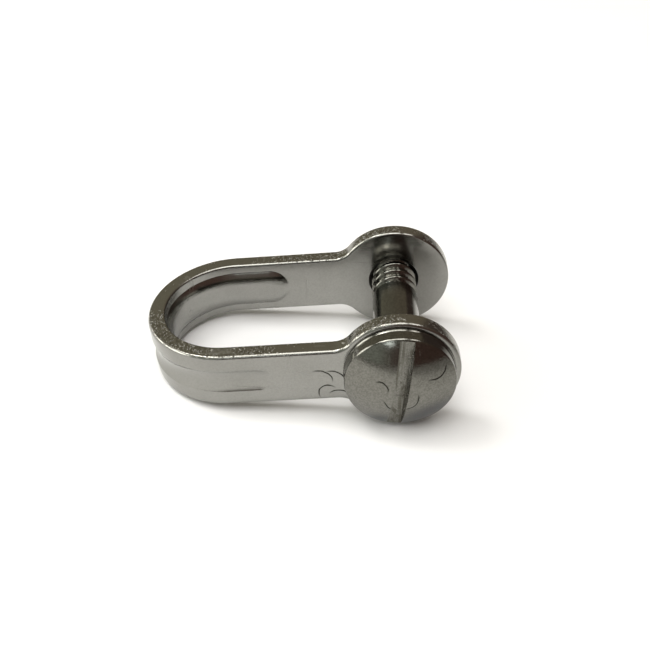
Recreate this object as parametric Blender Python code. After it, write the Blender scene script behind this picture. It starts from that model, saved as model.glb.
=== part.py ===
"""Pressed strip shackle with a slotted screw pin.

One strip of stainless steel is bent to a long U. Its two ends are round lugs, and a channel is pressed
round the bow: a groove on the outside, a rib on the inside. A screw pin with a domed, slotted head goes
through one lug and threads into the other. The shackle lies on its side, resting on the rims of both
lugs and on the lower edge of its bow.
"""
import math

import bmesh
import bpy
from mathutils import Matrix, Vector

MM = 0.001

# strip
INSIDE_WIDTH = 13.6 * MM       # between the two arms
STRIP_THICKNESS = 1.8 * MM
STRIP_WIDTH = 6.15 * MM
BOW_CENTRE = 17.0 * MM         # pin axis to the centre of the bow's half circle
INNER_EDGE = 0.25 * MM         # rounding of the blanked edge, on the inside of the U
OUTER_EDGE = 0.35 * MM         # the same on the outside, where the punch rolled it over
LUG_RADIUS = 6.0 * MM
LUG_FILLET = 2.2 * MM          # hollow corner between an arm's edge and its lug
HOLE_RADIUS = 2.7 * MM

# pressed channel round the bow
RIB_HEIGHT = 0.42 * MM
RIB_HALF_WIDTH = 2.1 * MM
RIB_SHOULDER = 1.4 * MM        # from the rib's border to its flat top
RIB_END = 11.5 * MM            # pin axis to the rib's round end, along the arm
GROOVE_AT_ARMS = 0.27 * MM     # the groove is shallow on the arms and deeper round the bow
GROOVE_AT_CROWN = 0.42 * MM
GROOVE_HALF_WIDTH = 1.38 * MM
GROOVE_END = 12.5 * MM

# screw pin
PIN_RADIUS = 2.4 * MM
HEAD_RADIUS = 5.45 * MM
HEAD_GAP = 0.15 * MM           # under the head, to the lug's outer face
RIM_FRONT = 1.42 * MM          # lug's outer face to the front of the head's rim
RIM_ROUND = 0.22 * MM
DOME_HEIGHT = 1.85 * MM
SLOT_WIDTH = 1.5 * MM
SLOT_FLOOR = 0.15 * MM         # floor of the slot, in front of the rim's front
SLOT_TURN = math.radians(9.7)
THREAD_PITCH = 1.2 * MM
THREAD_DEPTH = 0.42 * MM
THREAD_CREST = 0.1 * MM        # half the width of a crest's flat
THREAD_FLANK = 0.26 * MM       # a flank's run along the pin
THREAD_INSIDE = 3.6 * MM       # thread showing inside the far lug
PIN_END = 0.6 * MM             # past the far lug's outer face
END_CHAMFER = 0.4 * MM

# mesh fineness
BOW_STEPS = 32
LUG_STEPS = 14
FILLET_STEPS = 3
ARM_STEPS = 2
CHANNEL_END_STEPS = 12
PIN_SIDES = 36
ROWS_PER_PITCH = 8
DOME_RINGS = 6
SHANK_RING = 0.05 * MM
HOLE_SIDES = 36
CUT_OVERRUN = 1.0 * MM
SMOOTH_ANGLE = math.radians(35)
MERGE_DISTANCE = 1e-7

HALF_INSIDE = INSIDE_WIDTH / 2
HALF_STRIP = STRIP_WIDTH / 2
OUTER_FACE = HALF_INSIDE + STRIP_THICKNESS


def clear_scene():
    for obj in list(bpy.data.objects):
        bpy.data.objects.remove(obj, do_unlink=True)


def steel(name, colour, roughness):
    material = bpy.data.materials.new(name)
    material.use_nodes = True
    shader = material.node_tree.nodes["Principled BSDF"]
    shader.inputs["Base Color"].default_value = (*colour, 1.0)
    shader.inputs["Metallic"].default_value = 1.0
    shader.inputs["Roughness"].default_value = roughness
    return material


def rise(x, z, end, half_width, shoulder):
    """0 outside a round-ended channel, curving up to 1 at a shoulder's width inside its border."""
    beyond = max(x + end + half_width, 0.0)
    inside = (half_width - math.hypot(beyond, z)) / shoulder
    inside = min(max(inside, 0.0), 1.0)
    return 1.0 - (1.0 - inside) ** 2


def rib_height(x, z):
    return RIB_HEIGHT * rise(x, z, RIB_END, RIB_HALF_WIDTH, RIB_SHOULDER)


def groove_depth(x, z, bend):
    """bend is 0 on the arms and 1 at the bow's crown."""
    depth = GROOVE_AT_ARMS + (GROOVE_AT_CROWN - GROOVE_AT_ARMS) * bend
    return depth * rise(x, z, GROOVE_END, GROOVE_HALF_WIDTH, GROOVE_HALF_WIDTH)


def along(x, z, side, offset):
    """A point of an arm: side is -1 or 1, offset is measured outwards from the inner face."""
    return Vector((x, side * (HALF_INSIDE + offset), z))


def around(angle, z, offset):
    """A point of the bow, angle from the near arm round to the far arm."""
    radius = HALF_INSIDE + offset
    return Vector((-BOW_CENTRE - radius * math.sin(angle), -radius * math.cos(angle), z))


def face_shares(half_width, shoulder, face_half):
    """Where the lines along a face lie, as shares of the face's half width."""
    edges = [half_width - shoulder * part for part in (0.8, 0.5, 0.25, 0.0)] + [face_half]
    half = [edge / face_half for edge in edges]
    return [-share for share in reversed(half)] + half


INNER_SHARES = face_shares(RIB_HALF_WIDTH, RIB_SHOULDER, HALF_STRIP - INNER_EDGE)
OUTER_SHARES = face_shares(GROOVE_HALF_WIDTH, GROOVE_HALF_WIDTH, HALF_STRIP - OUTER_EDGE)
EDGE_TURNS = (math.radians(45), math.radians(90))


def section(place, station, bend):
    """The closed ring of points across the strip at one station of its outline."""
    x, z, inward_x, inward_z = station
    inner_x, inner_z = x + INNER_EDGE * inward_x, z + INNER_EDGE * inward_z
    outer_x, outer_z = x + OUTER_EDGE * inward_x, z + OUTER_EDGE * inward_z

    def edge(sign):
        points = []
        for turn in EDGE_TURNS:
            back = INNER_EDGE * (1.0 - math.sin(turn))
            drop = INNER_EDGE * (1.0 - math.cos(turn))
            points.append(place(x + back * inward_x, sign * (z + back * inward_z), drop))
        for turn in reversed(EDGE_TURNS):
            back = OUTER_EDGE * (1.0 - math.sin(turn))
            drop = OUTER_EDGE * (1.0 - math.cos(turn))
            points.append(place(x + back * inward_x, sign * (z + back * inward_z), STRIP_THICKNESS - drop))
        return points

    inner = [
        place(inner_x, share * inner_z, -rib_height(inner_x, share * inner_z)) for share in INNER_SHARES
    ]
    outer = [
        place(outer_x, share * outer_z, STRIP_THICKNESS - groove_depth(outer_x, share * outer_z, bend))
        for share in OUTER_SHARES
    ]
    return inner + edge(1) + outer[::-1] + edge(-1)[::-1]


def arm_outline():
    """(x, z, inward x, inward z) along the upper edge of an arm, from the lug's tip to the bow."""
    fillet_z = HALF_STRIP + LUG_FILLET
    fillet_x = -math.sqrt((LUG_RADIUS + LUG_FILLET) ** 2 - fillet_z ** 2)
    meet = math.atan2(fillet_z, fillet_x)
    stations = []
    for i in range(LUG_STEPS + 1):
        turn = meet * i / LUG_STEPS
        out_x, out_z = math.cos(turn), math.sin(turn)
        stations.append((LUG_RADIUS * out_x, LUG_RADIUS * out_z, -out_x, -out_z))
    for i in range(1, FILLET_STEPS + 1):
        turn = meet + math.pi + (math.pi / 2 - meet) * i / FILLET_STEPS
        in_x, in_z = math.cos(turn), math.sin(turn)
        stations.append((fillet_x + LUG_FILLET * in_x, fillet_z + LUG_FILLET * in_z, in_x, in_z))
    for i in range(1, ARM_STEPS + 1):
        stations.append((fillet_x + (-RIB_END - fillet_x) * i / ARM_STEPS, HALF_STRIP, 0.0, -1.0))
    ends_past = GROOVE_END + GROOVE_HALF_WIDTH
    for i in range(1, CHANNEL_END_STEPS + 1):
        stations.append((-RIB_END + (RIB_END - ends_past) * i / CHANNEL_END_STEPS, HALF_STRIP, 0.0, -1.0))
    stations.append((-BOW_CENTRE, HALF_STRIP, 0.0, -1.0))
    return stations


def strip_mesh():
    arm = arm_outline()
    bow = (-BOW_CENTRE, HALF_STRIP, 0.0, -1.0)
    rings = [section(lambda x, z, offset: along(x, z, -1, offset), station, 0.0) for station in arm]
    for i in range(1, BOW_STEPS):
        angle = math.pi * i / BOW_STEPS
        rings.append(section(
            lambda x, z, offset, angle=angle: around(angle, z, offset), bow, math.sin(angle) ** 2,
        ))
    rings += [
        section(lambda x, z, offset: along(x, z, 1, offset), station, 0.0) for station in reversed(arm)
    ]
    bm = bmesh.new()
    loops = [[bm.verts.new(point) for point in ring] for ring in rings]
    for first, second in zip(loops, loops[1:]):
        for j in range(len(first)):
            k = (j + 1) % len(first)
            bm.faces.new((first[j], first[k], second[k], second[j]))
    # at a lug's tip the ring has no width, so merging its points closes the strip's end
    bmesh.ops.remove_doubles(bm, verts=bm.verts, dist=MERGE_DISTANCE)
    bmesh.ops.recalc_face_normals(bm, faces=bm.faces)
    mesh = bpy.data.meshes.new("shackle_body")
    bm.to_mesh(mesh)
    bm.free()
    return mesh


def smooth(obj):
    obj.data.shade_smooth()
    obj.data.set_sharp_from_angle(angle=SMOOTH_ANGLE)


def link(name, mesh, parent=None):
    obj = bpy.data.objects.new(name, mesh)
    bpy.context.scene.collection.objects.link(obj)
    obj.parent = parent
    return obj


def guide(obj):
    obj.hide_render = True
    obj.display_type = "WIRE"
    return obj


def cut(target, cutter, name):
    modifier = target.modifiers.new(name, "BOOLEAN")
    modifier.operation = "DIFFERENCE"
    modifier.solver = "EXACT"
    modifier.object = cutter


def hole_cutter(parent):
    """One rod along the pin's axis, which drills both lugs in line."""
    bm = bmesh.new()
    bmesh.ops.create_cone(
        bm, cap_ends=True, segments=HOLE_SIDES, radius1=HOLE_RADIUS, radius2=HOLE_RADIUS,
        depth=2 * (OUTER_FACE + CUT_OVERRUN), matrix=Matrix.Rotation(math.pi / 2, 4, "X"),
    )
    mesh = bpy.data.meshes.new("hole_cutter")
    bm.to_mesh(mesh)
    bm.free()
    return guide(link("hole_cutter", mesh, parent))


def head_profile():
    """(y, radius) rings of the head from its dome to the root of the shank, and the dome's top."""
    rim_front = -(OUTER_FACE + RIM_FRONT)
    rim_back = -(OUTER_FACE + HEAD_GAP)
    ball = (HEAD_RADIUS ** 2 + DOME_HEIGHT ** 2) / (2 * DOME_HEIGHT)
    spread = math.asin((HEAD_RADIUS - RIM_ROUND) / ball)
    rings = []
    for i in range(1, DOME_RINGS + 1):
        turn = spread * i / DOME_RINGS
        rings.append((rim_front - DOME_HEIGHT + ball * (1 - math.cos(turn)), ball * math.sin(turn)))
    rings += [
        (rim_front + RIM_ROUND, HEAD_RADIUS),
        (rim_back - RIM_ROUND, HEAD_RADIUS),
        (rim_back, HEAD_RADIUS - RIM_ROUND),
        (rim_back, PIN_RADIUS),
    ]
    return rings, rim_front - DOME_HEIGHT


def thread_radius(y, angle, start, end):
    """Radius of the threaded part: a right-handed ridge along the pin that fades in and out."""
    phase = ((y - start) / THREAD_PITCH + angle / (2 * math.pi)) % 1.0
    from_crest = min(phase, 1.0 - phase) * THREAD_PITCH
    valley = min(max((from_crest - THREAD_CREST) / THREAD_FLANK, 0.0), 1.0)
    fade = min(1.0, max(0.0, (y - start) / THREAD_PITCH)) * min(1.0, max(0.0, (end - y) / THREAD_PITCH))
    return PIN_RADIUS - THREAD_DEPTH * valley * fade


def pin_mesh():
    head, apex = head_profile()
    start = HALF_INSIDE - THREAD_INSIDE
    tip = OUTER_FACE + PIN_END
    end = tip - END_CHAMFER
    rows = round((end - start) / THREAD_PITCH * ROWS_PER_PITCH)
    bm = bmesh.new()

    def ring(y, radius_at):
        points = []
        for i in range(PIN_SIDES):
            angle = 2 * math.pi * i / PIN_SIDES
            radius = radius_at(angle)
            points.append(bm.verts.new((radius * math.cos(angle), y, radius * math.sin(angle))))
        return points

    loops = [ring(y, lambda a, r=radius: r) for y, radius in head]
    # a ring just before the thread keeps the shading of the plain shank even
    loops.append(ring(start - SHANK_RING, lambda a: PIN_RADIUS))
    for i in range(rows + 1):
        y = start + (end - start) * i / rows
        loops.append(ring(y, lambda a, y=y: thread_radius(y, a, start, end)))
    loops.append(ring(tip, lambda a: PIN_RADIUS - END_CHAMFER))
    crown = bm.verts.new((0, apex, 0))
    for first, second in zip(loops, loops[1:]):
        for i in range(PIN_SIDES):
            k = (i + 1) % PIN_SIDES
            bm.faces.new((first[i], first[k], second[k], second[i]))
    for i in range(PIN_SIDES):
        bm.faces.new((crown, loops[0][(i + 1) % PIN_SIDES], loops[0][i]))
    bm.faces.new(loops[-1])
    bmesh.ops.recalc_face_normals(bm, faces=bm.faces)
    mesh = bpy.data.meshes.new("screw_pin")
    bm.to_mesh(mesh)
    bm.free()
    return mesh


def slot_cutter(parent):
    """A bar across the dome, turned a little from upright, whose back face is the slot's floor."""
    floor = -(OUTER_FACE + RIM_FRONT + SLOT_FLOOR)
    depth = DOME_HEIGHT + CUT_OVERRUN
    bm = bmesh.new()
    bmesh.ops.create_cube(bm, size=1.0)
    bmesh.ops.scale(bm, vec=(SLOT_WIDTH, depth, 2 * HEAD_RADIUS + CUT_OVERRUN), verts=bm.verts)
    mesh = bpy.data.meshes.new("slot_cutter")
    bm.to_mesh(mesh)
    bm.free()
    cutter = link("slot_cutter", mesh, parent)
    cutter.location = (0, floor - depth / 2, 0)
    cutter.rotation_euler = (0, SLOT_TURN, 0)
    return guide(cutter)


def lying_tilt():
    """Slope of the arms when the lugs' rims and the bow's lower edge all touch the ground."""
    bow_end = BOW_CENTRE + OUTER_FACE
    reach = math.hypot(bow_end, HALF_STRIP)
    return math.asin(LUG_RADIUS / reach) - math.atan2(HALF_STRIP, bow_end)


def lying_place(tilt):
    """Where the pin's axis crosses the middle plane, with the box's bottom centre at the origin."""
    bow_end = BOW_CENTRE + OUTER_FACE
    x_low = -bow_end * math.cos(tilt) - HALF_STRIP * math.sin(tilt)
    y_low = -(OUTER_FACE + RIM_FRONT + DOME_HEIGHT)
    y_high = OUTER_FACE + PIN_END
    return Vector((-(x_low + LUG_RADIUS) / 2, -(y_low + y_high) / 2, LUG_RADIUS))


def build():
    clear_scene()
    tilt = lying_tilt()
    rest = link("shackle_rest", None)
    rest.location = lying_place(tilt)
    rest.rotation_euler = (0, -tilt, 0)

    body = link("shackle_body", strip_mesh(), rest)
    body.data.materials.append(steel("polished_strip", (0.28, 0.275, 0.255), 0.16))
    smooth(body)
    cut(body, hole_cutter(rest), "pin_holes")

    pin = link("screw_pin", pin_mesh(), rest)
    pin.data.materials.append(steel("polished_pin", (0.19, 0.185, 0.165), 0.14))
    smooth(pin)
    cut(pin, slot_cutter(rest), "driver_slot")


build()
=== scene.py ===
"""The looks of a pressed strip shackle: fine meshes of the strip and its screw pin, polished steel with
sheared edges and scratches, a pale floor, soft lamps, the room that the steel mirrors, and the camera."""
import math

import bmesh
import bpy
from mathutils import Matrix, Vector


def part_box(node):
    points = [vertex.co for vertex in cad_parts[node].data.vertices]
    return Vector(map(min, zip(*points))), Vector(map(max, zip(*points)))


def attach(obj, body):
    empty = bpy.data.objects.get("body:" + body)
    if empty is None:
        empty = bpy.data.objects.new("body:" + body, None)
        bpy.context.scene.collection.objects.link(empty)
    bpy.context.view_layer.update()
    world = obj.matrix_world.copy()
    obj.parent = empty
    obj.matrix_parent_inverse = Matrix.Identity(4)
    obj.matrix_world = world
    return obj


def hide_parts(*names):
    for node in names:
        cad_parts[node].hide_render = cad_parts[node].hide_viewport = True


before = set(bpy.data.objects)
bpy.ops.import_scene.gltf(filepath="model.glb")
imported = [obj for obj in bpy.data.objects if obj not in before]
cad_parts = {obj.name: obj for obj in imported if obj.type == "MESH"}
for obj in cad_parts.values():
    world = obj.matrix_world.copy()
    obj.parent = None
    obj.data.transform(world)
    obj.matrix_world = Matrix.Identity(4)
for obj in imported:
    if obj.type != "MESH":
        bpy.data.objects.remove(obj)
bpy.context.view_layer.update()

MM = 0.001

# strip: the CAD part's sizes, apart from its edges, its faces' fall and its tighter, chamfered holes
INSIDE_WIDTH = 13.6 * MM
STRIP_THICKNESS = 1.8 * MM
STRIP_WIDTH = 6.15 * MM
BOW_CENTRE = 17.0 * MM         # pin axis to the centre of the bow's half circle
INNER_EDGE = 0.22 * MM         # rounding of the blanked edge, on the inside of the U
OUTER_EDGE = 0.40 * MM         # the same on the outside
OUTER_ROUND = 0.7              # the outer edge's depth as a share of its width
ROLL_DEPTH = 0.05 * MM         # both faces fall away a little towards the blanked edge
ROLL_WIDTH = 1.3 * MM
LUG_RADIUS = 6.0 * MM
LUG_FILLET = 2.2 * MM          # hollow corner between an arm's edge and its lug
NEAR_HOLE = 2.62 * MM
FAR_HOLE = 2.42 * MM
HOLE_CHAMFER = 0.3 * MM
HOLE_FLARE = 0.2 * MM          # how far the holes' cutter runs past each face

# pressed channel round the bow: the CAD part's, a little deeper on the arms
RIB_HEIGHT = 0.42 * MM
RIB_HALF_WIDTH = 2.1 * MM
RIB_SHOULDER = 1.4 * MM        # from the rib's border to its flat top
RIB_END = 11.5 * MM            # pin axis to the rib's round end, along the arm
GROOVE_AT_ARMS = 0.3 * MM
GROOVE_AT_CROWN = 0.42 * MM
GROOVE_HALF_WIDTH = 1.38 * MM
GROOVE_END = 12.5 * MM

# screw pin: the CAD part's sizes, apart from its head's radius, gap and collar, its slot and its thread
PIN_RADIUS = 2.4 * MM
HEAD_RADIUS = 5.43 * MM
COLLAR_RADIUS = 5.5 * MM       # a thin step round the back of the head
COLLAR_THICKNESS = 0.12 * MM
COLLAR_SLOPE = 0.1 * MM
SLOPE_ROUND = 0.01 * MM
COLLAR_ROUND = 0.03 * MM
HEAD_GAP = 0.03 * MM           # under the head, to the lug's outer face
RIM_FRONT = 1.42 * MM          # lug's outer face to the front of the head's rim
RIM_ROUND = 0.22 * MM
RIM_SHARE = 0.6                # the rounding starts this share of itself inside the head's radius
DOME_HEIGHT = 1.85 * MM
SLOT_WIDTH = 1.42 * MM
SLOT_FLOOR = 0.15 * MM         # floor of the slot, in front of the rim's front
SLOT_TURN = math.radians(9.7)
SLOT_BURR = 0.08 * MM          # the broken edge along the slot
THREAD_PITCH = 1.2 * MM
THREAD_DEPTH = 0.42 * MM
THREAD_CREST = 0.09 * MM       # half the crest's width
THREAD_FLANK = 0.19 * MM       # the flank's run along the pin
THREAD_CORNER = 0.3            # the crest's rounding, as a share of a flank
THREAD_FADE_IN = 0.5           # pitches over which the valleys start
THREAD_FADE_OUT = 0.3          # and end
THREAD_INSIDE = 3.6 * MM       # thread showing inside the far lug
PIN_END = 0.6 * MM             # past the far lug's outer face
END_CHAMFER = 0.4 * MM

HALF_INSIDE = INSIDE_WIDTH / 2
HALF_STRIP = STRIP_WIDTH / 2
OUTER_FACE = HALF_INSIDE + STRIP_THICKNESS
FILLET_Z = HALF_STRIP + LUG_FILLET
FILLET_X = -math.sqrt((LUG_RADIUS + LUG_FILLET) ** 2 - FILLET_Z ** 2)
FILLET_TURN = math.atan2(FILLET_Z, FILLET_X)

# mesh fineness
EDGE_STEPS = 7
LUG_STEPS = 80
FILLET_STEPS = 12
BOW_STEPS = 160
ROUND_STEPS = 160
ROWS_PER_PITCH = 30
DOME_RINGS = 48
MIDDLE_STEP = 0.1 * MM         # across a face: in the channel, at its border and outside it
BORDER_STEP = 0.05 * MM
OUTSIDE_STEP = 0.08 * MM
BORDER_WITHIN = 0.35 * MM
BORDER_BEYOND = 0.1 * MM
PLAIN_STEP = 0.3 * MM          # along an arm: on its plain part, round the channel's ends and beyond
END_STEP = 0.07 * MM
CHANNEL_STEP = 0.2 * MM
END_MARGIN = 0.2 * MM
SHANK_RING = 0.1 * MM          # the shank's end rings keep its shading a plain cylinder's
CUT_MARGIN = 1.0 * MM          # how much the slot's cutter is longer and deeper than the head
TOUCHING = 0.01 * MM           # this near the slot's floor or walls counts as on them
SAME_POINT = 0.0001 * MM
SMOOTH_BELOW = math.radians(32)
BURR_ABOVE = math.radians(50)

# the shackle lies on both lugs' rims and on the lower edge of its bow
strip_low, strip_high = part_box("shackle_body")
pin_low, pin_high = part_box("screw_pin")
bow_end = BOW_CENTRE + OUTER_FACE
TILT = (
    math.asin(LUG_RADIUS / math.hypot(bow_end, HALF_STRIP)) - math.atan2(HALF_STRIP, bow_end)
)
REST = Matrix.Translation((
    (pin_low.x + pin_high.x) / 2, (strip_low.y + strip_high.y) / 2, (pin_low.z + pin_high.z) / 2,
)) @ Matrix.Rotation(-TILT, 4, "Y")


# ---------------------------------------------------------------- shapes

def soft_ramp(value, corner):
    """A straight ramp from 0, with a rounded foot, to a sharp shoulder at 1."""
    if value <= -corner:
        return 0.0
    if value < corner:
        return (value + corner) ** 2 / (4 * corner)
    return min(value, 1.0)


def rise(x, z, end, half_width, shoulder):
    """0 outside a round-ended channel, curving up to 1 at a shoulder's width inside its border."""
    beyond = max(x + end + half_width, 0.0)
    inside = (half_width - math.hypot(beyond, z)) / shoulder
    inside = min(max(inside, 0.0), 1.0)
    return 1.0 - (1.0 - inside) ** 2


def rib_height(x, z):
    return RIB_HEIGHT * rise(x, z, RIB_END, RIB_HALF_WIDTH, RIB_SHOULDER)


def groove_depth(x, z, bend):
    depth = GROOVE_AT_ARMS + (GROOVE_AT_CROWN - GROOVE_AT_ARMS) * bend
    return depth * rise(x, z, GROOVE_END, GROOVE_HALF_WIDTH, GROOVE_HALF_WIDTH)


def inset(x, z):
    """How far a point lies inside the outline of an arm and its lug."""
    z = abs(z)
    if x <= FILLET_X:
        return HALF_STRIP - z
    if FILLET_Z * (x - FILLET_X) - FILLET_X * (z - FILLET_Z) > 0:
        return LUG_RADIUS - math.hypot(x, z)
    return math.hypot(x - FILLET_X, z - FILLET_Z) - LUG_FILLET


def fall(x, z):
    """How far a face has fallen away towards the blanked edge."""
    share = min(max(1.0 - inset(x, z) / ROLL_WIDTH, 0.0), 1.0)
    return ROLL_DEPTH * share ** 2


def along(x, z, side, offset):
    """A point on an arm, an offset out from its inner face."""
    return Vector((x, side * (HALF_INSIDE + offset), z))


def around(angle, z, offset):
    """A point on the bow, an offset out from its inner face."""
    radius = HALF_INSIDE + offset
    return Vector((-BOW_CENTRE - radius * math.sin(angle), -radius * math.cos(angle), z))


def spread(low, high, step):
    """Even values from low up to, but without, high."""
    count = max(1, round((high - low) / step))
    return [low + (high - low) * i / count for i in range(count)]


def face_shares(border, face_half):
    """Lines along a face as shares of its half width, closest together at the channel's border."""
    within, beyond = border - BORDER_WITHIN, border + BORDER_BEYOND
    half = spread(0.0, within, MIDDLE_STEP)
    half += spread(within, beyond, BORDER_STEP)
    half += spread(beyond, face_half, OUTSIDE_STEP) + [face_half]
    half = [z / face_half for z in half]
    return [-share for share in reversed(half[1:])] + half


INNER_SHARES = face_shares(RIB_HALF_WIDTH, HALF_STRIP - INNER_EDGE)
OUTER_SHARES = face_shares(GROOVE_HALF_WIDTH, HALF_STRIP - OUTER_EDGE)
EDGE_TURNS = [math.pi / 2 * i / EDGE_STEPS for i in range(1, EDGE_STEPS + 1)]


def section(place, station, bend):
    """(point, share of shear) right round the strip at one station of its outline. place turns a point
    on the strip into a point in space, and bend is 0 on the arms and 1 at the bow's crown."""
    x, z, inward_x, inward_z = station

    def at(back, share, offset_at):
        """The point that far back from the outline, at a share of the half width left there."""
        face_x, face_z = x + back * inward_x, share * (z + back * inward_z)
        return place(face_x, face_z, offset_at(face_x, face_z))

    def shear(turn):
        """Only the steep part of a rounded edge is sheared."""
        return max(0.0, 2 * math.sin(turn) - 1) ** 2

    def edge(sign):
        points = []
        for turn in EDGE_TURNS:
            back, drop = INNER_EDGE * (1 - math.sin(turn)), INNER_EDGE * (1 - math.cos(turn))
            points.append((at(back, sign, lambda px, pz: drop + fall(px, pz)), shear(turn)))
        for turn in reversed(EDGE_TURNS):
            back = OUTER_EDGE * (1 - math.sin(turn))
            drop = OUTER_EDGE * OUTER_ROUND * (1 - math.cos(turn))
            point = at(back, sign, lambda px, pz: STRIP_THICKNESS - drop - fall(px, pz))
            points.append((point, shear(turn)))
        return points

    inner = [
        (at(INNER_EDGE, share, lambda px, pz: fall(px, pz) - rib_height(px, pz)), 0.0)
        for share in INNER_SHARES
    ]
    outer = [
        (at(OUTER_EDGE, share,
            lambda px, pz: STRIP_THICKNESS - fall(px, pz) - groove_depth(px, pz, bend)), 0.0)
        for share in OUTER_SHARES
    ]
    return inner + edge(1) + outer[::-1] + edge(-1)[::-1]


def arm_outline():
    """(x, z, inward x, inward z) along the upper edge of an arm, from the lug's tip to the bow."""
    stations = []
    for i in range(LUG_STEPS + 1):
        turn = FILLET_TURN * i / LUG_STEPS
        out_x, out_z = math.cos(turn), math.sin(turn)
        stations.append((LUG_RADIUS * out_x, LUG_RADIUS * out_z, -out_x, -out_z))
    for i in range(1, FILLET_STEPS + 1):
        turn = FILLET_TURN + math.pi + (math.pi / 2 - FILLET_TURN) * i / FILLET_STEPS
        in_x, in_z = math.cos(turn), math.sin(turn)
        stations.append((FILLET_X + LUG_FILLET * in_x, FILLET_Z + LUG_FILLET * in_z, in_x, in_z))
    channel_start = RIB_END - END_MARGIN
    channel_full = GROOVE_END + GROOVE_HALF_WIDTH + END_MARGIN
    xs = spread(-FILLET_X, channel_start, PLAIN_STEP)[1:]
    xs += spread(channel_start, channel_full, END_STEP)
    xs += spread(channel_full, BOW_CENTRE, CHANNEL_STEP) + [BOW_CENTRE]
    return stations + [(-x, HALF_STRIP, 0.0, -1.0) for x in xs]


def mesh_of(name, bm):
    mesh = bpy.data.meshes.new(name)
    bm.to_mesh(mesh)
    bm.free()
    return mesh


def strip_mesh():
    """The whole strip with its lugs and channel, still without holes. "shear" marks its blanked edge."""
    arm = arm_outline()
    bow = (-BOW_CENTRE, HALF_STRIP, 0.0, -1.0)
    rings = [section(lambda x, z, offset: along(x, z, -1, offset), station, 0.0) for station in arm]
    for i in range(1, BOW_STEPS):
        angle = math.pi * i / BOW_STEPS
        rings.append(section(
            lambda x, z, offset, angle=angle: around(angle, z, offset), bow, math.sin(angle) ** 2,
        ))
    rings += [
        section(lambda x, z, offset: along(x, z, 1, offset), station, 0.0) for station in reversed(arm)
    ]
    bm = bmesh.new()
    layer = bm.verts.layers.float.new("shear")
    loops = []
    for ring in rings:
        loop = []
        for point, shear in ring:
            vert = bm.verts.new(REST @ point)
            vert[layer] = shear
            loop.append(vert)
        loops.append(loop)
    for first, second in zip(loops, loops[1:]):
        for j in range(len(first)):
            k = (j + 1) % len(first)
            bm.faces.new((first[j], first[k], second[k], second[j]))
    bmesh.ops.remove_doubles(bm, verts=bm.verts, dist=SAME_POINT)
    bmesh.ops.recalc_face_normals(bm, faces=bm.faces)
    return mesh_of("strip", bm)


def turned(bm, profile):
    """Rings of vertices for (y, radius) or (y, function of angle) pairs, joined in order."""
    loops = []
    for y, radius in profile:
        loop = []
        for i in range(ROUND_STEPS):
            angle = 2 * math.pi * i / ROUND_STEPS
            r = radius(angle) if callable(radius) else radius
            loop.append(bm.verts.new(REST @ Vector((r * math.cos(angle), y, r * math.sin(angle)))))
        loops.append(loop)
    for first, second in zip(loops, loops[1:]):
        for i in range(ROUND_STEPS):
            k = (i + 1) % ROUND_STEPS
            bm.faces.new((first[i], first[k], second[k], second[i]))
    return loops


def hole_cutter():
    """A rod through both lugs that opens out at each face of the metal, for the holes' chamfers."""
    profile = []
    for low, high, radius in (
        (-OUTER_FACE, -HALF_INSIDE, NEAR_HOLE), (HALF_INSIDE, OUTER_FACE, FAR_HOLE),
    ):
        wide = radius + HOLE_CHAMFER + HOLE_FLARE
        profile += [
            (low - HOLE_FLARE, wide), (low + HOLE_CHAMFER, radius),
            (high - HOLE_CHAMFER, radius), (high + HOLE_FLARE, wide),
        ]
    bm = bmesh.new()
    loops = turned(bm, profile)
    bm.faces.new(loops[0])
    bm.faces.new(loops[-1])
    bmesh.ops.recalc_face_normals(bm, faces=bm.faces)
    return mesh_of("hole_cutter", bm)


def thread_radius(y, angle, start, end):
    """Radius of the right-handed rolled thread, whose valleys fade in at its start and out at its end."""
    phase = ((y - start) / THREAD_PITCH + angle / (2 * math.pi)) % 1.0
    from_crest = min(phase, 1.0 - phase) * THREAD_PITCH
    valley = soft_ramp((from_crest - THREAD_CREST) / THREAD_FLANK, THREAD_CORNER)
    fade = min(1.0, max(0.0, (y - start) / (THREAD_FADE_IN * THREAD_PITCH)))
    fade *= min(1.0, max(0.0, (end - y) / (THREAD_FADE_OUT * THREAD_PITCH)))
    return PIN_RADIUS - THREAD_DEPTH * valley * fade


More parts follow.
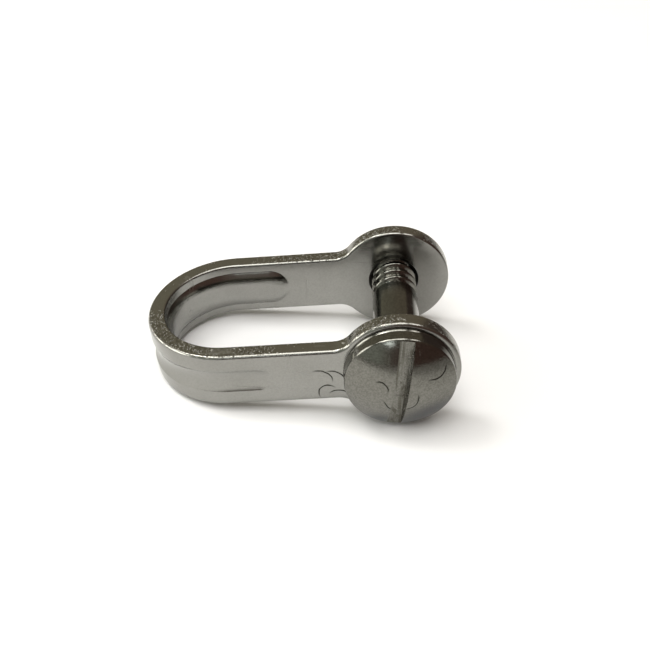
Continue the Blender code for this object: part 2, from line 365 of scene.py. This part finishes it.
def pin_mesh():
    """The whole pin, turned from its dome to its tip, still without its slot."""
    rim_front = -(OUTER_FACE + RIM_FRONT)
    rim_back = -(OUTER_FACE + HEAD_GAP)
    ball = (HEAD_RADIUS ** 2 + DOME_HEIGHT ** 2) / (2 * DOME_HEIGHT)
    reach = math.asin((HEAD_RADIUS - RIM_ROUND * RIM_SHARE) / ball)
    profile = []
    for i in range(1, DOME_RINGS + 1):
        turn = reach * i / DOME_RINGS
        profile.append((rim_front - DOME_HEIGHT + ball * (1 - math.cos(turn)), ball * math.sin(turn)))
    y0, r0 = profile[-1]
    for i in range(1, EDGE_STEPS + 1):
        turn = reach + (math.pi / 2 - reach) * i / EDGE_STEPS
        lift = (math.cos(reach) - math.cos(turn)) / math.cos(reach)
        out = (math.sin(turn) - math.sin(reach)) / (1 - math.sin(reach))
        profile.append((y0 + RIM_ROUND * lift, r0 + (HEAD_RADIUS - r0) * out))
    step = rim_back - COLLAR_THICKNESS
    profile += [
        (step - COLLAR_SLOPE - 4 * SLOPE_ROUND, HEAD_RADIUS),
        (step - COLLAR_SLOPE, HEAD_RADIUS + SLOPE_ROUND),
        (step - 2 * SLOPE_ROUND, COLLAR_RADIUS - SLOPE_ROUND), (step, COLLAR_RADIUS),
        (rim_back - COLLAR_ROUND, COLLAR_RADIUS), (rim_back, COLLAR_RADIUS - COLLAR_ROUND),
    ]
    start = HALF_INSIDE - THREAD_INSIDE
    profile += [
        (rim_back, PIN_RADIUS + SHANK_RING), (rim_back + SHANK_RING, PIN_RADIUS),
        (rim_back + 2 * SHANK_RING, PIN_RADIUS), (start - SHANK_RING / 2, PIN_RADIUS),
    ]
    tip = OUTER_FACE + PIN_END
    end = tip - END_CHAMFER
    rows = round((end - start) / THREAD_PITCH * ROWS_PER_PITCH)
    profile += [
        (start + (end - start) * i / rows,
         lambda a, y=start + (end - start) * i / rows: thread_radius(y, a, start, end))
        for i in range(rows + 1)
    ]
    profile.append((tip, PIN_RADIUS - END_CHAMFER))
    bm = bmesh.new()
    loops = turned(bm, profile)
    crown = bm.verts.new(REST @ Vector((0, rim_front - DOME_HEIGHT, 0)))
    for i in range(ROUND_STEPS):
        bm.faces.new((crown, loops[0][(i + 1) % ROUND_STEPS], loops[0][i]))
    bm.faces.new(loops[-1])
    bmesh.ops.recalc_face_normals(bm, faces=bm.faces)
    return mesh_of("pin", bm)


# the slot's own frame: its floor's middle, with Z along the slot and -Y out of the head
SLOT = (
    REST @ Matrix.Translation((0, -(OUTER_FACE + RIM_FRONT + SLOT_FLOOR), 0))
    @ Matrix.Rotation(SLOT_TURN, 4, "Y")
)


def slot_cutter():
    depth = DOME_HEIGHT + CUT_MARGIN
    bm = bmesh.new()
    bmesh.ops.create_cube(bm, size=1.0)
    bmesh.ops.scale(bm, vec=(SLOT_WIDTH, depth, 2 * HEAD_RADIUS + CUT_MARGIN), verts=bm.verts)
    bmesh.ops.transform(bm, matrix=SLOT @ Matrix.Translation((0, -depth / 2, 0)), verts=bm.verts)
    return mesh_of("slot_cutter", bm)


def mark_slot(obj):
    """Marks the slot's floor and walls with the attribute "milled"."""
    to_slot = SLOT.inverted()
    milled = obj.data.attributes.new("milled", "FLOAT", "POINT")
    for vertex in obj.data.vertices:
        place = to_slot @ vertex.co
        inside = abs(place.x) < SLOT_WIDTH / 2 + TOUCHING and place.y < TOUCHING
        milled.data[vertex.index].value = 1.0 if inside else 0.0


def add(name, data):
    obj = bpy.data.objects.new(name, data)
    bpy.context.scene.collection.objects.link(obj)
    return obj


def carve(obj, cutter_mesh):
    """Cuts once and keeps the result, so no cutter is left in the scene."""
    cutter = add("cutter", cutter_mesh)
    modifier = obj.modifiers.new("cut", "BOOLEAN")
    modifier.operation, modifier.solver, modifier.object = "DIFFERENCE", "EXACT", cutter
    shape = bpy.data.meshes.new_from_object(
        obj.evaluated_get(bpy.context.evaluated_depsgraph_get())
    )
    obj.modifiers.clear()
    obj.data = shape
    bpy.data.objects.remove(cutter, do_unlink=True)


def break_edges(obj):
    """Breaks the edges that a cut has left sharp."""
    bm = bmesh.new()
    bm.from_mesh(obj.data)
    sharp = [e for e in bm.edges if len(e.link_faces) == 2 and e.calc_face_angle() > BURR_ABOVE]
    bmesh.ops.bevel(
        bm, geom=sharp, offset=SLOT_BURR, segments=2, affect="EDGES", clamp_overlap=True,
    )
    bm.to_mesh(obj.data)
    bm.free()


def dress(obj, material):
    """Smooth shading, with sharp edges where the faces turn further, and one material."""
    obj.data.shade_smooth()
    obj.data.set_sharp_from_angle(angle=SMOOTH_BELOW)
    obj.data.materials.clear()
    obj.data.materials.append(material)


# ---------------------------------------------------------------- materials

# the steel's textures, in noise cells per metre
CLOUD_SCALE = 260
SWELL_SCALE = 330
HAIR_SCALE = 900
WOBBLE_SCALE = 900
DIRT_SCALE = 1500
STREAK_SCALE = 3200
TEAR_SCALE = 4200
MOTTLE_SCALE = 5200
DENT_SCALE = 6500

# its relief
SWELL_DEPTH = 0.02 * MM
MOTTLE_DEPTH = 0.008 * MM
HAIR_DEPTH = 0.003 * MM
SCRATCH_DEPTH = 0.03 * MM
DENT_DEPTH = 0.25 * MM
STREAK_DEPTH = 0.04 * MM

SCRATCH_WIDTH = 0.1 * MM       # half a deep scratch's width
SCRATCH_WOBBLE = 0.3 * MM

# colours of what lies on the steel or in it, and of the shade painted on it
# painted shade on the dome's lower rim, for the shadowed floor that it mirrors
PAINTED_DOME_SHADE = (0.068, 0.072, 0.078, 1.0)
SCRATCH_DIRT = (0.025, 0.025, 0.02, 1.0)
PIT_DIRT = (0.06, 0.055, 0.04, 1.0)
SHEARED_STEEL = (0.27, 0.25, 0.20, 1.0)
# painted shade inside the pin's holes
PAINTED_HOLE_SHADE = (0.03, 0.028, 0.025, 1.0)
SLOT_DIRT = (0.07, 0.065, 0.05, 1.0)


class Nodes:
    """Short names for building a node tree."""

    def __init__(self, tree):
        self.tree = tree

    def add(self, kind, **values):
        node = self.tree.nodes.new(kind)
        for key, value in values.items():
            setattr(node, key, value)
        return node

    def link(self, source, target):
        self.tree.links.new(source, target)

    def feed(self, socket, value):
        if isinstance(value, bpy.types.NodeSocket):
            self.link(value, socket)
        else:
            socket.default_value = value

    def math(self, operation, a, b=0.0, c=0.0):
        node = self.add("ShaderNodeMath", operation=operation)
        for socket, value in zip(node.inputs, (a, b, c)):
            self.feed(socket, value)
        return node.outputs[0]

    def vector(self, operation, a, b=(0.0, 0.0, 0.0), output="Vector"):
        node = self.add("ShaderNodeVectorMath", operation=operation)
        self.feed(node.inputs[0], a)
        self.feed(node.inputs[1], b)
        return node.outputs[output]

    def ramp(self, value, low, high):
        """A smooth step from 0 at low to 1 at high."""
        node = self.add("ShaderNodeMapRange", interpolation_type="SMOOTHSTEP")
        for socket, item in zip(node.inputs, (value, low, high)):
            self.feed(socket, item)
        return node.outputs[0]

    def noise(self, place, scale, detail, rough=0.55, stretch=None, turn=(0, 0, 0)):
        if stretch or any(turn):
            mapping = self.add("ShaderNodeMapping")
            mapping.inputs["Scale"].default_value = stretch or (1, 1, 1)
            mapping.inputs["Rotation"].default_value = turn
            self.link(place, mapping.inputs["Vector"])
            place = mapping.outputs[0]
        node = self.add("ShaderNodeTexNoise")
        self.link(place, node.inputs["Vector"])
        node.inputs["Scale"].default_value = scale
        node.inputs["Detail"].default_value = detail
        node.inputs["Roughness"].default_value = rough
        return node.outputs["Fac"]

    def colour(self, fac, a, b):
        node = self.add("ShaderNodeMix", data_type="RGBA")
        self.feed(node.inputs[0], fac)
        self.feed(node.inputs[6], a)
        self.feed(node.inputs[7], b)
        return node.outputs[2]

    def bump(self, height, distance, strength, after=None):
        node = self.add("ShaderNodeBump")
        self.feed(node.inputs["Strength"], strength)
        node.inputs["Distance"].default_value = distance
        self.link(height, node.inputs["Height"])
        if after:
            self.link(after, node.inputs["Normal"])
        return node.outputs[0]


def polished_steel(
    name, colour, dark, rough, grain, scratches, torn=(), painted_shade_zones=(), shade_holes=False, slotted=False,
):
    """Tumbled stainless: faintly mottled and hairline-scratched, with a few deep curved scratches.

    scratches holds (centre, radius, middle, reach) of arcs. torn holds (place, reach) of the roughest
    stretches of the edges that the attribute "shear" marks. The painted-shade zones hold (place, reach)
    of darker patches, painted shade that stands in for a shadowed floor that the steel mirrors. Steel
    with its holes shaded gets painted shade inside the pin's holes. slotted steel has a saw's streaks
    where the attribute "milled" marks it."""
    material = bpy.data.materials.new(name)
    material.use_nodes = True
    tree = material.node_tree
    n = Nodes(tree)
    shader = tree.nodes["Principled BSDF"]
    place = n.add("ShaderNodeTexCoord").outputs["Object"]
    shader.inputs["Metallic"].default_value = 1.0

    def away_from(centre):
        return n.vector("DISTANCE", place, REST @ centre, "Value")

    def zones(pairs):
        """1 within half a reach of any place, and 0 beyond its whole reach."""
        total = 0.0
        for centre, reach in pairs:
            total = n.math("MAXIMUM", total, n.ramp(away_from(centre), reach, 0.5 * reach))
        return total

    cloud = n.noise(place, CLOUD_SCALE, 4.0)
    mottle = n.noise(place, MOTTLE_SCALE, 2.0, 0.6)
    hair_a = n.noise(place, HAIR_SCALE, 2.0, 0.5, (0.12, 1.0, 1.6), (0.0, 0.35, 0.1))
    hair_b = n.noise(place, HAIR_SCALE, 2.0, 0.5, (1.5, 1.0, 0.1), (0.2, -0.5, 0.0))
    hairs = n.math("MAXIMUM", n.ramp(hair_a, 0.64, 0.72), n.ramp(hair_b, 0.66, 0.73))
    arcs = 0.0
    wobble = n.math("MULTIPLY", n.noise(place, WOBBLE_SCALE, 1.0), SCRATCH_WOBBLE)
    for centre, radius, middle, reach in scratches:
        wavy = n.math("ADD", away_from(centre), wobble)
        off = n.math("SUBTRACT", wavy, radius + SCRATCH_WOBBLE / 2)
        line = n.ramp(n.math("ABSOLUTE", off), SCRATCH_WIDTH, 0.4 * SCRATCH_WIDTH)
        arcs = n.math("MAXIMUM", arcs, n.math("MULTIPLY", line, zones([(middle, reach)])))
    # painted shade: zones darkened to stand in for the shadowed floor that the steel mirrors there
    painted_shade = zones(painted_shade_zones)
    if slotted:
        milled = n.add("ShaderNodeAttribute", attribute_name="milled").outputs["Fac"]
        uncut = n.math("SUBTRACT", 1.0, milled)
        arcs, painted_shade = n.math("MULTIPLY", arcs, uncut), n.math("MULTIPLY", painted_shade, uncut)

    clouds = n.math("MULTIPLY", cloud, 1 - grain)
    tone = n.math("MULTIPLY_ADD", n.ramp(mottle, 0.35, 0.65), grain, clouds)
    base = n.colour(tone, (*colour, 1.0), (*dark, 1.0))
    # the painted shade darkens the base colour in those zones
    base = n.colour(n.math("MULTIPLY", painted_shade, 0.8), base, PAINTED_DOME_SHADE)
    base = n.colour(n.math("MULTIPLY", arcs, 0.95), base, SCRATCH_DIRT)
    roughness = n.math("MULTIPLY_ADD", cloud, 0.10, rough - 0.05)
    roughness = n.math("MULTIPLY_ADD", hairs, 0.12, roughness)
    normal = n.bump(n.noise(place, SWELL_SCALE, 2.0), SWELL_DEPTH, 0.35)
    normal = n.bump(mottle, MOTTLE_DEPTH, grain, normal)
    normal = n.bump(hairs, HAIR_DEPTH, 0.35, normal)
    normal = n.bump(arcs, SCRATCH_DEPTH, 0.6, normal)
    if torn:
        shear = n.add("ShaderNodeAttribute", attribute_name="shear").outputs["Fac"]
        patch = n.math("MAXIMUM", zones(torn), n.math("MULTIPLY", n.ramp(cloud, 0.5, 0.62), 0.4))
        tear = n.noise(place, TEAR_SCALE, 2.0, 0.6, (1.0, 0.7, 1.0))
        amount = n.math("MULTIPLY", shear, n.math("MULTIPLY_ADD", patch, 0.90, 0.10))
        dents = n.math("MULTIPLY", n.ramp(tear, 0.56, 0.68), n.noise(place, DENT_SCALE, 1.0))
        pits = n.math("MULTIPLY", n.math("MULTIPLY", shear, patch), n.ramp(tear, 0.46, 0.36))
        base = n.colour(n.math("MULTIPLY", pits, 0.5), base, PIT_DIRT)
        base = n.colour(n.math("MULTIPLY", shear, 0.3), base, SHEARED_STEEL)
        roughness = n.math("MULTIPLY_ADD", shear, 0.05, roughness)
        normal = n.bump(dents, DENT_DEPTH, amount, normal)
    # painted shade: darker, rougher steel within the holes' radius of the pin's axis, where shade falls
    # in the bores
    if shade_holes:
        offset = n.vector("SUBTRACT", place, REST.translation)
        radius = n.vector("LENGTH", n.vector("CROSS_PRODUCT", offset, (0, 1, 0)), output="Value")
        inside = n.ramp(radius, FAR_HOLE + HOLE_CHAMFER, FAR_HOLE + 0.8 * HOLE_CHAMFER)
        base = n.colour(n.math("MULTIPLY", inside, 0.85), base, PAINTED_HOLE_SHADE)
        roughness = n.math("MULTIPLY_ADD", inside, 0.3, roughness)
    if slotted:
        streaks = n.noise(place, STREAK_SCALE, 3.0, 0.65, (1.0, 1.0, 0.05), (0, SLOT_TURN - TILT, 0))
        dirt = n.noise(place, DIRT_SCALE, 2.0, 0.6, (1.0, 1.0, 0.6))
        marks = n.math("MAXIMUM", n.ramp(streaks, 0.50, 0.62), n.ramp(dirt, 0.54, 0.66))
        marks = n.math("MULTIPLY", n.math("MULTIPLY", milled, marks), 0.7)
        base = n.colour(marks, base, SLOT_DIRT)
        roughness = n.math("MULTIPLY_ADD", milled, 0.12, roughness)
        normal = n.bump(streaks, STREAK_DEPTH, n.math("MULTIPLY", milled, 0.6), normal)
    n.link(base, shader.inputs["Base Color"])
    n.link(roughness, shader.inputs["Roughness"])
    n.link(normal, shader.inputs["Normal"])
    return material


# ---------------------------------------------------------------- the two pieces

MIDDLE_OF_ARM = OUTER_FACE - STRIP_THICKNESS / 2

# where the blank's shear tore the upper edge: on the far arm, twice on the bow and on both lugs
TORN_EDGES = [
    (Vector((-9 * MM, MIDDLE_OF_ARM, HALF_STRIP)), 5.5 * MM),
    (Vector((-BOW_CENTRE - 7 * MM, -4 * MM, HALF_STRIP)), 4.5 * MM),
    (Vector((-BOW_CENTRE, -MIDDLE_OF_ARM, HALF_STRIP)), 6 * MM),
    (Vector((-LUG_RADIUS / 2, -MIDDLE_OF_ARM, LUG_RADIUS)), 4.5 * MM),
    (Vector((-LUG_RADIUS / 3, MIDDLE_OF_ARM, LUG_RADIUS)), 4 * MM),
]


def on_arm(x, z):
    """A place on the near arm's outer face, in millimetres from the lug's middle."""
    return Vector((x * MM, -OUTER_FACE, z * MM))


def on_dome(x, z):
    """A place on the head's dome, in millimetres from its middle."""
    lift = DOME_HEIGHT * (1 - (math.hypot(x, z) * MM / HEAD_RADIUS) ** 2)
    return Vector((x * MM, -OUTER_FACE - RIM_FRONT - lift, z * MM))


strip = add("strip", strip_mesh())
carve(strip, hole_cutter())
dress(strip, polished_steel(
    "polished_strip", colour=(0.32, 0.317, 0.297), dark=(0.23, 0.228, 0.209), rough=0.16, grain=0.25,
    scratches=[
        (on_arm(-7.9, -0.5), 1.3 * MM, on_arm(-7.0, 0.7), 1.7 * MM),
        (on_arm(-7.0, -1.1), 1.8 * MM, on_arm(-5.9, 0.5), 1.4 * MM),
        (on_arm(-7.1, -2.1), 1.0 * MM, on_arm(-7.7, -1.4), 1.5 * MM),
        (on_arm(-6.2, -3.0), 1.2 * MM, on_arm(-6.0, -1.8), 1.3 * MM),
    ],
    # with painted shade inside both holes
    torn=TORN_EDGES, shade_holes=True,
))
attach(strip, "shackle")
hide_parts("shackle_body")

pin = add("pin", pin_mesh())
carve(pin, slot_cutter())
break_edges(pin)
mark_slot(pin)
dress(pin, polished_steel(
    # darker than the strip's steel: partly the pin's own finish, partly painted shade for the shadowed
    # floor that its head mirrors
    "polished_pin", colour=(0.205, 0.201, 0.18), dark=(0.14, 0.137, 0.12), rough=0.14, grain=0.8,
    scratches=[
        (on_dome(0.1, -0.6), 1.55 * MM, on_dome(1.4, -1.6), 1.8 * MM),
        (on_dome(0.1, -0.6), 1.8 * MM, on_dome(-1.5, -1.8), 1.2 * MM),
        (on_dome(-2.1, 0.6), 0.9 * MM, on_dome(-1.4, 1.3), 1.1 * MM),
        (on_dome(3.0, 2.7), 1.6 * MM, on_dome(3.8, 1.3), 1.5 * MM),
    ],
    # painted shade on the dome's lower rim, left and right, for the shadowed floor under the head that it
    # mirrors
    painted_shade_zones=[(on_dome(-1.5, -5.5), 3.2 * MM), (on_dome(2.9, -5.1), 4.2 * MM)],
    slotted=True,
))
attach(pin, "pin")
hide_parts("screw_pin")


# ---------------------------------------------------------------- floor, light and camera

FLOOR_RADIUS = 1.2             # metres
PAPER_CENTRE = Vector((-50, 25, 0)) * MM
PAPER_PALE = 65 * MM           # the steel mirrors evenly pale paper this far from that centre
PAPER_SHADE_START = 130 * MM          # and paper with painted shade from here on
PALE_PAPER = (0.80, 0.80, 0.80, 1.0)
# painted shade on the far paper, which only the steel mirrors
PAINTED_PAPER_SHADE = (0.30, 0.295, 0.29, 1.0)
BACKDROP = (0.80, 0.80, 0.79, 1.0)

# what the steel mirrors of the room and, below the horizon, of the table under the paper
TABLE = (0.75, 0.75, 0.73, 1.0)
FRONT_LEFT = (0.50, 0.53, 0.47, 1.0)
FRONT_MIDDLE = (0.20, 0.155, 0.135, 1.0)
FRONT_RIGHT = (0.14, 0.085, 0.07, 1.0)
UPPER_FRONT_LEFT = (0.30, 0.31, 0.27, 1.0)
UPPER_FRONT_RIGHT = (0.16, 0.12, 0.09, 1.0)
BACK_LEFT = (0.33, 0.31, 0.235, 1.0)
BACK_MIDDLE = (0.28, 0.24, 0.18, 1.0)
BACK_RIGHT = (0.10, 0.075, 0.065, 1.0)
WINDOW_LIGHT = (5.0, 4.95, 4.7, 1.0)

# name, place, target, size, power and colour, in metres and watts
LAMPS = [
    ("overhead", (-0.1225, -0.125, 0.5), (-0.1225, -0.125, 0), (0.405, 0.5), 2.35, (1, 0.99, 0.975)),
    ("overhead_right", (0.21, -0.125, 0.5), (0.21, -0.125, 0), (0.12, 0.5), 0.65, (1, 0.99, 0.975)),
    ("key", (-0.30, 0.10, 0.5), (0, 0, 0), (0.18, 0.18), 1.1, (1, 0.99, 0.98)),
    ("window", (-0.237, -0.858, 0.485), (0, 0, 0), (0.19, 0.08), 0.2, (0.88, 0.97, 1.0)),
]

# the camera, in millimetres and metres; its azimuth turns from -Y towards +X
SENSOR_WIDTH = 36.0
FOCAL_LENGTH = 52.881
CLIP_START = 0.005
CLIP_END = 10.0
CAMERA_AZIMUTH = math.radians(-0.341)
CAMERA_ELEVATION = math.radians(38.638)
CAMERA_ROLL = math.radians(2.081)
CAMERA_DISTANCE = 98.51 * MM
CAMERA_TARGET = Vector((2.505, 0.010, 5.801)) * MM


def make_floor():
    """Pale paper. Far from the object the steel mirrors it with painted shade, for paper outside the
    lamps' reach, but the camera itself sees it evenly pale."""
    bm = bmesh.new()
    bmesh.ops.create_circle(bm, cap_ends=True, segments=96, radius=FLOOR_RADIUS)
    floor = add("floor", mesh_of("floor", bm))
    material = bpy.data.materials.new("pale_floor")
    material.use_nodes = True
    shader = material.node_tree.nodes["Principled BSDF"]
    n = Nodes(material.node_tree)
    place = n.add("ShaderNodeTexCoord").outputs["Object"]
    # painted shade on the paper far from the object, left out of camera rays
    away = n.ramp(n.vector("DISTANCE", place, PAPER_CENTRE, "Value"), PAPER_PALE, PAPER_SHADE_START)
    seen = n.add("ShaderNodeLightPath").outputs["Is Camera Ray"]
    away = n.math("MULTIPLY", away, n.math("SUBTRACT", 1.0, seen))
    n.link(n.colour(away, PALE_PAPER, PAINTED_PAPER_SHADE), shader.inputs["Base Color"])
    shader.inputs["Roughness"].default_value = 0.9
    shader.inputs["Specular IOR Level"].default_value = 0.1
    floor.data.materials.append(material)


def make_lamp(name, place, target, size, power, colour):
    data = bpy.data.lights.new(name, "AREA")
    data.shape, data.size, data.size_y = "RECTANGLE", *size
    data.energy, data.color = power, colour
    lamp = add(name, data)
    lamp.location = place
    lamp.rotation_euler = (Vector(target) - Vector(place)).to_track_quat("-Z", "Y").to_euler()


def make_world():
    """A dim room that only the steel mirrors: a window far to the left, brown to the right and behind,
    darkest behind on the right. The camera itself sees a plain pale backdrop."""
    world = bpy.data.worlds.new("room")
    bpy.context.scene.world = world
    world.use_nodes = True
    n = Nodes(world.node_tree)
    background = world.node_tree.nodes["Background"]
    direction = n.add("ShaderNodeTexCoord").outputs["Generated"]
    split = n.add("ShaderNodeSeparateXYZ")
    n.link(direction, split.inputs[0])
    x, y, z = split.outputs
    front = n.colour(n.ramp(x, -0.5, -0.08), FRONT_LEFT, FRONT_MIDDLE)
    front = n.colour(n.ramp(x, 0.12, 0.32), front, FRONT_RIGHT)
    upper_front = n.colour(n.ramp(x, -0.2, 0.35), UPPER_FRONT_LEFT, UPPER_FRONT_RIGHT)
    front = n.colour(n.ramp(z, 0.40, 0.58), front, upper_front)
    back = n.colour(n.ramp(x, -0.6, 0.4), BACK_LEFT, BACK_MIDDLE)
    back = n.colour(n.ramp(x, 0.44, 0.52), back, BACK_RIGHT)
    room = n.colour(n.ramp(y, -0.3, 0.5), front, back)
    left_window = n.math("MULTIPLY", n.ramp(x, -0.74, -0.88), n.ramp(z, 0.06, 0.2))
    room = n.colour(left_window, room, WINDOW_LIGHT)
    room = n.colour(n.ramp(z, -0.06, 0.0), TABLE, room)
    seen = n.add("ShaderNodeLightPath").outputs["Is Camera Ray"]
    n.link(n.colour(seen, room, BACKDROP), background.inputs["Color"])
    background.inputs["Strength"].default_value = 1.0


def make_camera():
    data = bpy.data.cameras.new("camera")
    data.sensor_width, data.lens = SENSOR_WIDTH, FOCAL_LENGTH
    data.clip_start, data.clip_end = CLIP_START, CLIP_END
    camera = add("camera", data)
    backward = Vector((
        math.sin(CAMERA_AZIMUTH) * math.cos(CAMERA_ELEVATION),
        -math.cos(CAMERA_AZIMUTH) * math.cos(CAMERA_ELEVATION),
        math.sin(CAMERA_ELEVATION),
    ))
    camera.location = CAMERA_TARGET + backward * CAMERA_DISTANCE
    camera.rotation_mode = "QUATERNION"
    camera.rotation_quaternion = (
        (-backward).to_track_quat("-Z", "Y") @ Matrix.Rotation(CAMERA_ROLL, 3, "Z").to_quaternion()
    )
    return camera


make_floor()
make_world()
for lamp in LAMPS:
    make_lamp(*lamp)
bpy.context.scene.camera = make_camera()
bpy.context.scene.view_settings.view_transform = "Standard"
